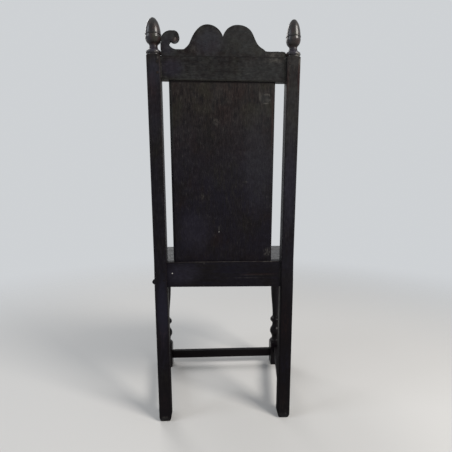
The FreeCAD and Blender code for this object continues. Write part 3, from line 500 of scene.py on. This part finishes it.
class Wood(Finish):
    """The tree of one oak finish, with its place on the chair, its noises and its colour so far."""

    def __init__(self, tree, along, seed, raked, squeeze, grain, lean):
        super().__init__(tree)
        settings = bpy.context.scene.joined_chair
        self.colours, self.surface = settings.colours, settings.surface
        self.colour = self.colours.dark
        point = self.upright(self.point()) if raked else self.point()
        self.place = self.split(point)
        if lean:
            # A leaning leg is brought upright, so that its arrises and marks follow it
            shift = self.slope(self.place[ALONG_Z], 0.0, RAIL_BOTTOM, lean, 0.0)
            self.place[ALONG_X] = self.place[ALONG_X] + shift
        fibres = self.fibre_space(point, along, squeeze, seed)
        threads = self.fibre_space(point, along, squeeze * PORE_SQUEEZE, seed)
        blotches = self.vector("ADD", point, (seed, seed, -seed))
        self.streaks = self.noise(fibres, grain, detail=3.0, roughness=0.6)
        self.fine = self.noise(fibres, grain * FINE_GRAIN, detail=2.0, roughness=0.6)
        self.pores = self.smooth(self.noise(threads, PORE_SCALE, detail=1.0, roughness=0.5), *PORES)
        self.patches = self.noise(blotches, PATCH_SCALE, detail=3.0, roughness=0.55)
        self.casts = self.noise(blotches, CAST_SCALE, detail=2.0, roughness=0.5)
        self.spots = self.noise(blotches, SPOT_SCALE, detail=3.0, roughness=0.6)

    def upright(self, place):
        """The place, with the raked back brought upright about its knee."""
        turned = self.add("ShaderNodeVectorRotate", {"rotation_type": "X_AXIS"},
                          {"Vector": place, "Center": (0, REAR_FACE, KNEE_HEIGHT), "Angle": BACK_RAKE})
        above = self.smooth(self.split(place)[ALONG_Z], KNEE_HEIGHT - KNEE_BLEND, KNEE_HEIGHT + KNEE_BLEND)
        return self.add("ShaderNodeMix", {"data_type": "VECTOR"},
                        {"Factor_Float": above, "A_Vector": place, "B_Vector": turned}, "Result_Vector")

    def fibre_space(self, point, along, squeeze, seed):
        """Space squeezed along the grain, so that round noise becomes long fibres."""
        squash = [1.0, 1.0, 1.0]
        squash[along] = squeeze
        moved = self.vector("ADD", point, tuple(seed * step for step in SEED_STEP))
        return self.vector("MULTIPLY", moved, tuple(squash))

    def tint(self, mask, name):
        """Lay one of the oak's colours over the colour so far."""
        self.colour = self.blend(mask, self.colour, getattr(self.colours, name))

    def facing(self, axis, start, full):
        """1 on what faces along an axis, 0 on what faces away."""
        normal = self.add("ShaderNodeNewGeometry", output="Normal")
        return self.smooth(self.split(normal)[axis], start, full)

    def distance_from(self, place, reach, axes=SEEN_FROM_BEHIND):
        """Distance from a place on two axes, 1 at its reach along each."""
        first, second = ((self.place[axis] - at) / far for axis, at, far in zip(axes, place, reach))
        return (first * first + second * second).root()

    def spot(self, place, reach, axes=SEEN_FROM_BEHIND):
        """1 in the core of an oval spot, 0 outside it."""
        return 1 - self.smooth(self.distance_from(place, reach, axes), SPOT_CORE, 1.0)

    def arris_wear(self, section):
        """1 on the arrises of a bar; its section is the axis, middle and half size of each of two sides."""
        first, second = (half - abs(self.place[axis] - middle) for axis, middle, half in section)
        return 1 - self.smooth(first.larger(second), 0.0, self.surface.wear_width)


def black_oak(name, along, seed, raked=False, squeeze=0.1, grain=150.0, brown=0.5, haze=0.2, cool=0.5,
              flecks=0.3, roughness=0.5, lean=0.0, section=None, red=None, polish=None, soot=None,
              marks=()):
    """Old blackened oak: streaked grain, open pores, flecks, dust on top, rubbed arrises, grime and painted
    shade towards the floor, painted shade on inner faces.
    """
    material = new_material(name)
    wood = Wood(material.node_tree, along, seed, raked, squeeze, grain, lean)
    stain(wood, brown, haze, cool, flecks)
    if red is not None:
        wood.tint(red(wood), "red")
    wood.tint(wood.pores * PORE_STRENGTH, "grime_and_shade")
    if section is not None:
        rub_arrises(wood, section)
    dust = wood.facing(ALONG_Z, *UPWARD) * wood.smooth(wood.spots, *DUSTED)
    wood.tint(dust * DUST_STRENGTH, "haze")
    # Painted shade and grime: darker towards the floor, standing in for the light that falls off downwards
    left = wood.slope(wood.place[ALONG_Z], *SHADE_AND_GRIME_HEIGHTS, wood.surface.floor_shade_and_grime, 1.0)
    wood.colour = wood.blend(left, wood.colours.grime_and_shade, wood.colour)
    wood.tint(wood.smooth(wood.fine * 0.5 + wood.spots * 0.5, *SPECKED) * SPECK_STRENGTH, "grime_and_shade")
    roughness = roughness + (wood.spots - 0.5) * SPOT_ROUGHNESS + (wood.fine - 0.5) * GRAIN_ROUGHNESS
    roughness = roughness + dust * DUST_ROUGHNESS
    # Painted shade, with rougher wood, low on the rear legs' inner faces and along their rear arris
    if soot is not None:
        sooted = soot(wood)
        wood.tint(sooted * INNER_SHADE_STRENGTH, "grime_and_shade")
        roughness = roughness + sooted * INNER_SHADE_ROUGHNESS
    for layer in marks:
        layer(wood)

    relief = wood.streaks * 0.35 + wood.fine * 0.35 - wood.pores * 0.6 + wood.spots * 0.5
    inputs = {
        "Base Color": wood.colour,
        "Roughness": roughness,
        "Normal": wood.bump(relief, wood.surface.grain_depth),
        "Specular IOR Level": wood.surface.specular,
    }
    if polish is not None:
        inputs["Coat Weight"] = polish(wood) * wood.surface.polish
        inputs["Coat Roughness"] = wood.surface.polish_roughness
    wood.show("ShaderNodeOutputMaterial", wood.add("ShaderNodeBsdfPrincipled", None, inputs))
    return material


def stain(wood, brown, haze, cool, flecks):
    """The colours all over the wood: brown streaks, haze, red and olive casts, cool film, flecks."""
    streaked = wood.smooth(wood.streaks * 0.5 + wood.fine * 0.35 + wood.patches * 0.25, *STREAKED)
    wood.tint(streaked * brown, "brown")
    wood.tint(wood.smooth(wood.patches * 0.6 + wood.spots * 0.4, *HAZED) * haze, "haze")
    wood.tint(wood.smooth(wood.casts, *RED_CAST) * brown * RED_STRENGTH, "red")
    wood.tint(wood.smooth(wood.casts, *OLIVE_CAST) * brown * OLIVE_STRENGTH, "olive")
    low = wood.smooth(wood.place[ALONG_Z], *FILM_HEIGHTS)
    wood.tint(low * wood.smooth(wood.patches * 0.5 + wood.streaks * 0.5, *FILMED) * cool, "cool")
    wood.tint(wood.smooth(wood.fine * 0.7 + wood.spots * 0.3, *FLECKED) * flecks, "worn")


def rub_arrises(wood, section):
    """Reddish arrises, bare in places."""
    worn = wood.arris_wear(section)
    bare = wood.smooth(wood.spots, *RUBBED_SPOTS) * wood.smooth(wood.fine, *RUBBED_GRAIN)
    wood.tint(worn * ARRIS_RED, "red")
    wood.tint(worn * bare * ARRIS_BARE, "worn")


def paint(table):
    """A layer of the marks of a table, each over the one before."""
    def lay(wood):
        rear = wood.facing(ALONG_Y, *REARWARD)
        torn = wood.smooth(wood.fine * 0.5 + wood.spots * 0.5, *TORN)
        for name, strength, ragged, place, reach in table:
            wood.tint(rear * wood.spot(place, reach) * (torn * ragged + (1 - ragged)) * strength, name)
    return lay


def lit_beneath(strength):
    """A layer of painted light: lighter colour on an underside, which lifts its shade."""
    def lay(wood):
        wood.tint(wood.facing(ALONG_Z, *DOWNWARD) * strength, "worn")
    return lay


def knot(wood):
    """Torn rings of a knot, pale on the dark plank."""
    distance = wood.distance_from(KNOT_PLACE, KNOT_REACH)
    swirl = distance * KNOT_RINGS + wood.spots * KNOT_SWIRL
    rings = wood.smooth(swirl.math("PINGPONG", swirl, RING_WIDTH), *RING_MASK)
    mask = rings * (1 - wood.smooth(distance, *KNOT_EDGE)) * wood.smooth(wood.fine, *KNOT_GRAIN)
    wood.tint(mask * wood.facing(ALONG_Y, *REARWARD) * KNOT_STRENGTH, "worn")


# Pieces

def put_on(node, along, seed, **looks):
    """Give a CAD node's object its own black oak in place of its material."""
    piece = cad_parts[node]
    piece.data.materials.clear()
    piece.data.materials.append(black_oak(node, along, seed, **looks))


def side_of(node, axis):
    """One side of the section of a straight bar: its axis, middle and half size."""
    low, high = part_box(node)
    return axis, (low[axis] + high[axis]) / 2, (high[axis] - low[axis]) / 2


class CHAIR_OT_posts(bpy.types.Operator):
    """Finish the two rear posts and the acorn finials turned on them"""

    bl_idname = "chair.posts"
    bl_label = "Rear posts"
    bl_options = {"REGISTER", "UNDO"}

    def execute(self, context):
        rub = context.scene.joined_chair.surface.rub
        for node, side, seed, brown, haze, table in (
                ("rear_post_left", 1, 1.7, 0.45, 0.25, LEFT_POST_MARKS),
                ("rear_post_right", -1, 4.1, 0.75, 0.60, RIGHT_POST_MARKS)):
            section = ((ALONG_X, side * POST_CENTRE, POST_WIDTH / 2),
                       (ALONG_Y, REAR_FACE - POST_DEPTH / 2, POST_DEPTH / 2))
            # The rear legs take painted shade low on their inner faces
            put_on(node, ALONG_Z, seed, raked=True, squeeze=0.12, grain=130.0, brown=brown, haze=haze,
                   cool=0.7, flecks=0.15, roughness=rub, lean=side * LEG_LEAN, section=section,
                   red=handled, polish=waxed_finial, soot=soot_within(side),
                   # Painted sheen on the inner faces, above the painted shade
                   marks=(sheen_within(side), paint(table)))
        return {"FINISHED"}


def soot_within(side):
    """A mask of painted shade, 1 low on the face that a rear leg turns to the other one, and along its rear
    arris.
    """
    def lie(wood):
        low = wood.smooth(wood.place[ALONG_Z], *INNER_SHADE_HEIGHTS)
        behind = wood.smooth(wood.place[ALONG_Y], *REAR_HALF)
        leg = wood.smooth(wood.place[ALONG_Z], *UNDER_RAIL)
        return inner_face(wood, side) * low.larger(behind * leg)
    return lie


def sheen_within(side):
    """A layer of painted sheen: lighter colour on the front half of the same face, between the stretcher and
    the seat.
    """
    def lay(wood):
        ahead = wood.smooth(wood.place[ALONG_Y], *FRONT_HALF)
        leg = wood.smooth(wood.place[ALONG_Z], *UNDER_RAIL)
        high = wood.smooth(wood.place[ALONG_Z], *INNER_SHEEN_HEIGHTS)
        wood.tint(inner_face(wood, side) * ahead * leg * high * INNER_SHEEN_STRENGTH, "worn")
    return lay


def inner_face(wood, side):
    """1 on the face that a post turns to the other one."""
    start, full = INWARD
    return wood.facing(ALONG_X, start * side, full * side)


def turned(wood):
    """1 on the finial, which is turned above the shoulder of its post."""
    return wood.smooth(wood.place[ALONG_Z], SHOULDER_HEIGHT, SHOULDER_HEIGHT + SHOULDER_EASE)


def waxed_finial(wood):
    """Polish on the finial, dulled in the hollow of its neck."""
    height = wood.place[ALONG_Z]
    hollow = wood.smooth(height, *NECK_BOTTOM) * (1 - wood.smooth(height, *NECK_TOP))
    return turned(wood) * (1 - hollow * NECK_LOSS)


def handled(wood):
    """Reddish where hands have rubbed the finial."""
    return turned(wood) * wood.smooth(wood.spots, *HANDLED) * HANDLED_STRENGTH


class CHAIR_OT_back(bpy.types.Operator):
    """Finish the top rail, its cresting, the plank and the rear seat rail"""

    bl_idname = "chair.back"
    bl_label = "Back"
    bl_options = {"REGISTER", "UNDO"}

    def execute(self, context):
        surface = context.scene.joined_chair.surface
        # The top rail's underside is lightened with painted light
        put_on("top_rail", ALONG_X, 2.3, raked=True, squeeze=0.16, grain=210.0, brown=0.45, haze=0.90,
               flecks=0.26, roughness=surface.dull, marks=(lit_beneath(0.35), paint(TOP_RAIL_MARKS)))
        put_on("cresting", ALONG_X, 5.9, raked=True, squeeze=0.30, grain=260.0, brown=0.70, haze=1.0,
               flecks=0.38, roughness=surface.dull, polish=carved_eye, marks=(paint(CRESTING_MARKS),))
        put_on("back_panel", ALONG_Z, 7.7, raked=True, squeeze=0.13, grain=210.0, brown=1.0, haze=0.33,
               flecks=0.22, cool=0.85, roughness=surface.dull, marks=(knot, paint(PANEL_MARKS)))
        section = (side_of("rear_seat_rail", ALONG_Y), side_of("rear_seat_rail", ALONG_Z))
        put_on("rear_seat_rail", ALONG_X, 9.1, squeeze=0.12, grain=180.0, brown=0.40, haze=0.25, cool=0.9,
               flecks=0.12, roughness=surface.rub, section=section, marks=(paint(REAR_RAIL_MARKS),))
        return {"FINISHED"}


def carved_eye(wood):
    """1 on the rubbed boss in the eye of the scroll."""
    return wood.spot(SCROLL_EYE, (EYE_REACH, EYE_REACH))


class CHAIR_OT_seat(bpy.types.Operator):
    """Finish the boards of the seat and the rails under them"""

    bl_idname = "chair.seat"
    bl_label = "Seat"
    bl_options = {"REGISTER", "UNDO"}

    def execute(self, context):
        surface = context.scene.joined_chair.surface
        for step, node in enumerate(("seat_board_rear", "seat_board_middle", "seat_board_front")):
            put_on(node, ALONG_X, 11.3 + step, brown=1.0, haze=0.3, cool=0.15, roughness=surface.gloss,
                   red=sat_on, polish=waxed)
        for node, along, seed in (("side_seat_rail_left", ALONG_Y, 15.1),
                                  ("side_seat_rail_right", ALONG_Y, 16.1),
                                  ("front_seat_rail", ALONG_X, 17.9)):
            put_on(node, along, seed, brown=0.9, haze=0.25, cool=0.3, roughness=surface.rub)
        return {"FINISHED"}


def sat_on(wood):
    """Reddish where the middle of the seat has been rubbed."""
    middle = wood.spot(SEAT_RUB, SEAT_RUB_REACH, SEEN_FROM_ABOVE)
    return middle * wood.smooth(wood.spots, *SAT_ON) * SAT_ON_STRENGTH


def waxed(wood):
    """Polish all over the seat, less where the wax has dulled."""
    return WAX_LEFT - wood.smooth(wood.spots, *DULLED_WAX) * WAX_LOST


def thinly_waxed(wood):
    """What is left of the polish on the turned legs."""
    return waxed(wood) * WAX_THIN


class CHAIR_OT_front_legs(bpy.types.Operator):
    """Finish the turned front legs"""

    bl_idname = "chair.front_legs"
    bl_label = "Front legs"
    bl_options = {"REGISTER", "UNDO"}

    def execute(self, context):
        gloss = context.scene.joined_chair.surface.gloss
        for step, node in enumerate(("front_leg_left", "front_leg_right")):
            section = (side_of(node, ALONG_X), side_of(node, ALONG_Y))
            put_on(node, ALONG_Z, 21.3 + step, brown=0.6, haze=0.15, cool=0.8, flecks=0.15, roughness=gloss,
                   section=section, polish=thinly_waxed)
        return {"FINISHED"}


class CHAIR_OT_stretchers(bpy.types.Operator):
    """Finish the low stretchers"""

    bl_idname = "chair.stretchers"
    bl_label = "Stretchers"
    bl_options = {"REGISTER", "UNDO"}

    def execute(self, context):
        rub = context.scene.joined_chair.surface.rub
        for node, along, seed in (("front_stretcher", ALONG_X, 25.7),
                                  ("side_stretcher_left", ALONG_Y, 26.9),
                                  ("side_stretcher_right", ALONG_Y, 28.3)):
            put_on(node, along, seed, brown=0.6, flecks=0.15, roughness=rub)
        return {"FINISHED"}


class CHAIR_OT_pegs(bpy.types.Operator):
    """Finish the pegs and dowels"""

    bl_idname = "chair.pegs"
    bl_label = "Pegs"
    bl_options = {"REGISTER", "UNDO"}

    def execute(self, context):
        rub = context.scene.joined_chair.surface.rub
        for step, node in enumerate(("cresting_dowels", "top_rail_pegs", "rear_rail_pegs", "side_rail_pegs",
                                     "front_rail_pegs", "front_stretcher_pegs", "side_stretcher_pegs",
                                     "seat_pegs")):
            put_on(node, ALONG_Y, 31.1 + step, brown=0.9, haze=0.3, roughness=rub)
        peg = burred_peg()
        peg.data.materials.append(black_oak(peg.name, ALONG_X, 40.3, brown=0.6, haze=0.1, roughness=rub))
        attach(peg, "root")
        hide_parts("proud_side_rail_peg")
        return {"FINISHED"}


def burred_peg():
    """The peg that stands out of the left post, its riven end burred over by hammering."""
    low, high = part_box("proud_side_rail_peg")
    middle = (low + high) / 2
    shank = (high.z - low.z) / 2
    post_face = POST_CENTRE + POST_WIDTH / 2
    outline = [(low.x, shank, shank, 0), (post_face, shank, shank, 0)]
    outline += [(post_face + out, tall, deep, BURR_DROP) for out, tall, deep in BURR_RINGS]
    shape = bmesh.new()
    rings = []
    for along, tall, deep, drop in outline:
        ring = []
        for step in range(PEG_SIDES):
            around = 2 * math.pi * step / PEG_SIDES
            torn = 1 + TEAR_DEPTH * math.sin(TEAR_LOBES * around + TEAR_TWIST * along)
            ring.append(shape.verts.new((along, middle.y + deep * torn * math.cos(around),
                                         middle.z - drop + tall * torn * math.sin(around))))
        rings.append(ring)
    for first, second in zip(rings, rings[1:]):
        for step in range(PEG_SIDES):
            after = (step + 1) % PEG_SIDES
            shape.faces.new((first[step], first[after], second[after], second[step]))
    shape.faces.new(rings[-1])
    shape.faces.new(rings[0][::-1])
    bmesh.ops.recalc_face_normals(shape, faces=shape.faces)
    mesh = bpy.data.meshes.new("burred_peg")
    shape.to_mesh(mesh)
    shape.free()
    peg = bpy.data.objects.new("burred_peg", mesh)
    bpy.context.scene.collection.objects.link(peg)
    return peg


# Stage

class CHAIR_OT_stage(bpy.types.Operator):
    """Set the floor, the light and the camera"""

    bl_idname = "chair.stage"
    bl_label = "Stage"
    bl_options = {"REGISTER", "UNDO"}

    def execute(self, context):
        studio = context.scene.joined_chair.studio
        lay_floor(studio)
        light_world(studio)
        for name, (place, aim, size, colour) in LAMPS.items():
            hang_lamp(name, place, aim, size, getattr(studio, name + "_power"), colour)
        stand_camera(studio)
        return {"FINISHED"}


def lay_floor(studio):
    """A plain floor that fades out before its edge, so that no horizon shows."""
    half = studio.floor_reach * FLOOR_SIZE
    mesh = bpy.data.meshes.new("floor")
    corners = [(-half, -half, 0), (half, -half, 0), (half, half, 0), (-half, half, 0)]
    mesh.from_pydata(corners, [], [(0, 1, 2, 3)])
    floor = bpy.data.objects.new("floor", mesh)
    bpy.context.scene.collection.objects.link(floor)
    material = new_material("floor")
    finish = Finish(material.node_tree)
    across, back, _ = finish.split(finish.point())
    distance = (across * across + back * back).root()
    gone = finish.smooth(distance, *(studio.floor_reach * part for part in FLOOR_FADE))
    plain = finish.add("ShaderNodeBsdfDiffuse", None, {"Color": opaque(studio.floor)})
    clear = finish.add("ShaderNodeBsdfTransparent")
    shader = finish.add("ShaderNodeMixShader", None, {0: gone, 1: plain, 2: clear})
    finish.show("ShaderNodeOutputMaterial", shader)
    mesh.materials.append(material)


def light_world(studio):
    """A pale wall for what is seen and reflected, and a softer fill for what is lit."""
    world = bpy.data.worlds.new("studio")
    world.use_nodes = True
    finish = Finish(world.node_tree)
    camera, glossy, transmission = (finish.add("ShaderNodeLightPath", output=kind)
                                    for kind in ("Is Camera Ray", "Is Glossy Ray", "Is Transmission Ray"))
    colour = finish.blend(camera.larger(glossy).larger(transmission), studio.fill, studio.wall)
    finish.show("ShaderNodeOutputWorld", finish.add("ShaderNodeBackground", None, {"Color": colour}))
    bpy.context.scene.world = world
    bpy.context.scene.view_settings.view_transform = "Standard"


def hang_lamp(name, place, aim, size, strength, colour):
    """A soft oblong lamp that looks at its aim."""
    lamp = bpy.data.lights.new(name, "AREA")
    lamp.shape = "RECTANGLE"
    lamp.size, lamp.size_y = size
    lamp.energy = strength
    lamp.color = colour
    holder = bpy.data.objects.new(name, lamp)
    holder.location = place
    holder.rotation_euler = (Vector(aim) - Vector(place)).to_track_quat("-Z", "Y").to_euler()
    bpy.context.scene.collection.objects.link(holder)


def stand_camera(studio):
    """The camera behind the chair, turned, tilted and rolled from straight ahead."""
    camera = bpy.data.cameras.new("camera")
    camera.sensor_width = SENSOR_WIDTH
    camera.lens = studio.focal_length
    holder = bpy.data.objects.new("camera", camera)
    yaw, pitch, roll = studio.turn, studio.tilt, studio.roll
    ahead = Vector((-math.sin(yaw) * math.cos(pitch), -math.cos(yaw) * math.cos(pitch), -math.sin(pitch)))
    right = Vector((-math.cos(yaw), math.sin(yaw), 0))
    above = right.cross(ahead)
    rolled_right = right * math.cos(roll) + above * math.sin(roll)
    rolled_above = above * math.cos(roll) - right * math.sin(roll)
    stance = Matrix((rolled_right, rolled_above, -ahead)).transposed().to_4x4()
    holder.matrix_world = Matrix.Translation(Vector(studio.eye)) @ stance
    bpy.context.scene.collection.objects.link(holder)
    bpy.context.scene.camera = holder


# Add-on

class CHAIR_PT_panel(bpy.types.Panel):
    """Lists the chair's settings and the steps that finish it"""

    bl_idname = "CHAIR_PT_panel"
    bl_label = "Joined chair"
    bl_space_type = "VIEW_3D"
    bl_region_type = "UI"
    bl_category = "Chair"

    def draw(self, context):
        settings = context.scene.joined_chair
        for group in (settings.colours, settings.surface, settings.studio):
            box = self.layout.box()
            for name in group.__annotations__:
                box.prop(group, name)
        for step in STEPS:
            self.layout.operator(step.bl_idname)


STEPS = (CHAIR_OT_posts, CHAIR_OT_back, CHAIR_OT_seat, CHAIR_OT_front_legs, CHAIR_OT_stretchers,
         CHAIR_OT_pegs, CHAIR_OT_stage)
CLASSES = (OakColours, OakSurface, Studio, ChairSettings, *STEPS, CHAIR_PT_panel)


def register():
    for kind in CLASSES:
        bpy.utils.register_class(kind)
    bpy.types.Scene.joined_chair = PointerProperty(type=ChairSettings, name="Joined chair",
                                                   description="Settings of the joined chair")


def unregister():
    del bpy.types.Scene.joined_chair
    for kind in reversed(CLASSES):
        bpy.utils.unregister_class(kind)


def main():
    register()
    bpy.ops.chair.posts()
    bpy.ops.chair.back()
    bpy.ops.chair.seat()
    bpy.ops.chair.front_legs()
    bpy.ops.chair.stretchers()
    bpy.ops.chair.pegs()
    bpy.ops.chair.stage()


if __name__ == "__main__":
    main()
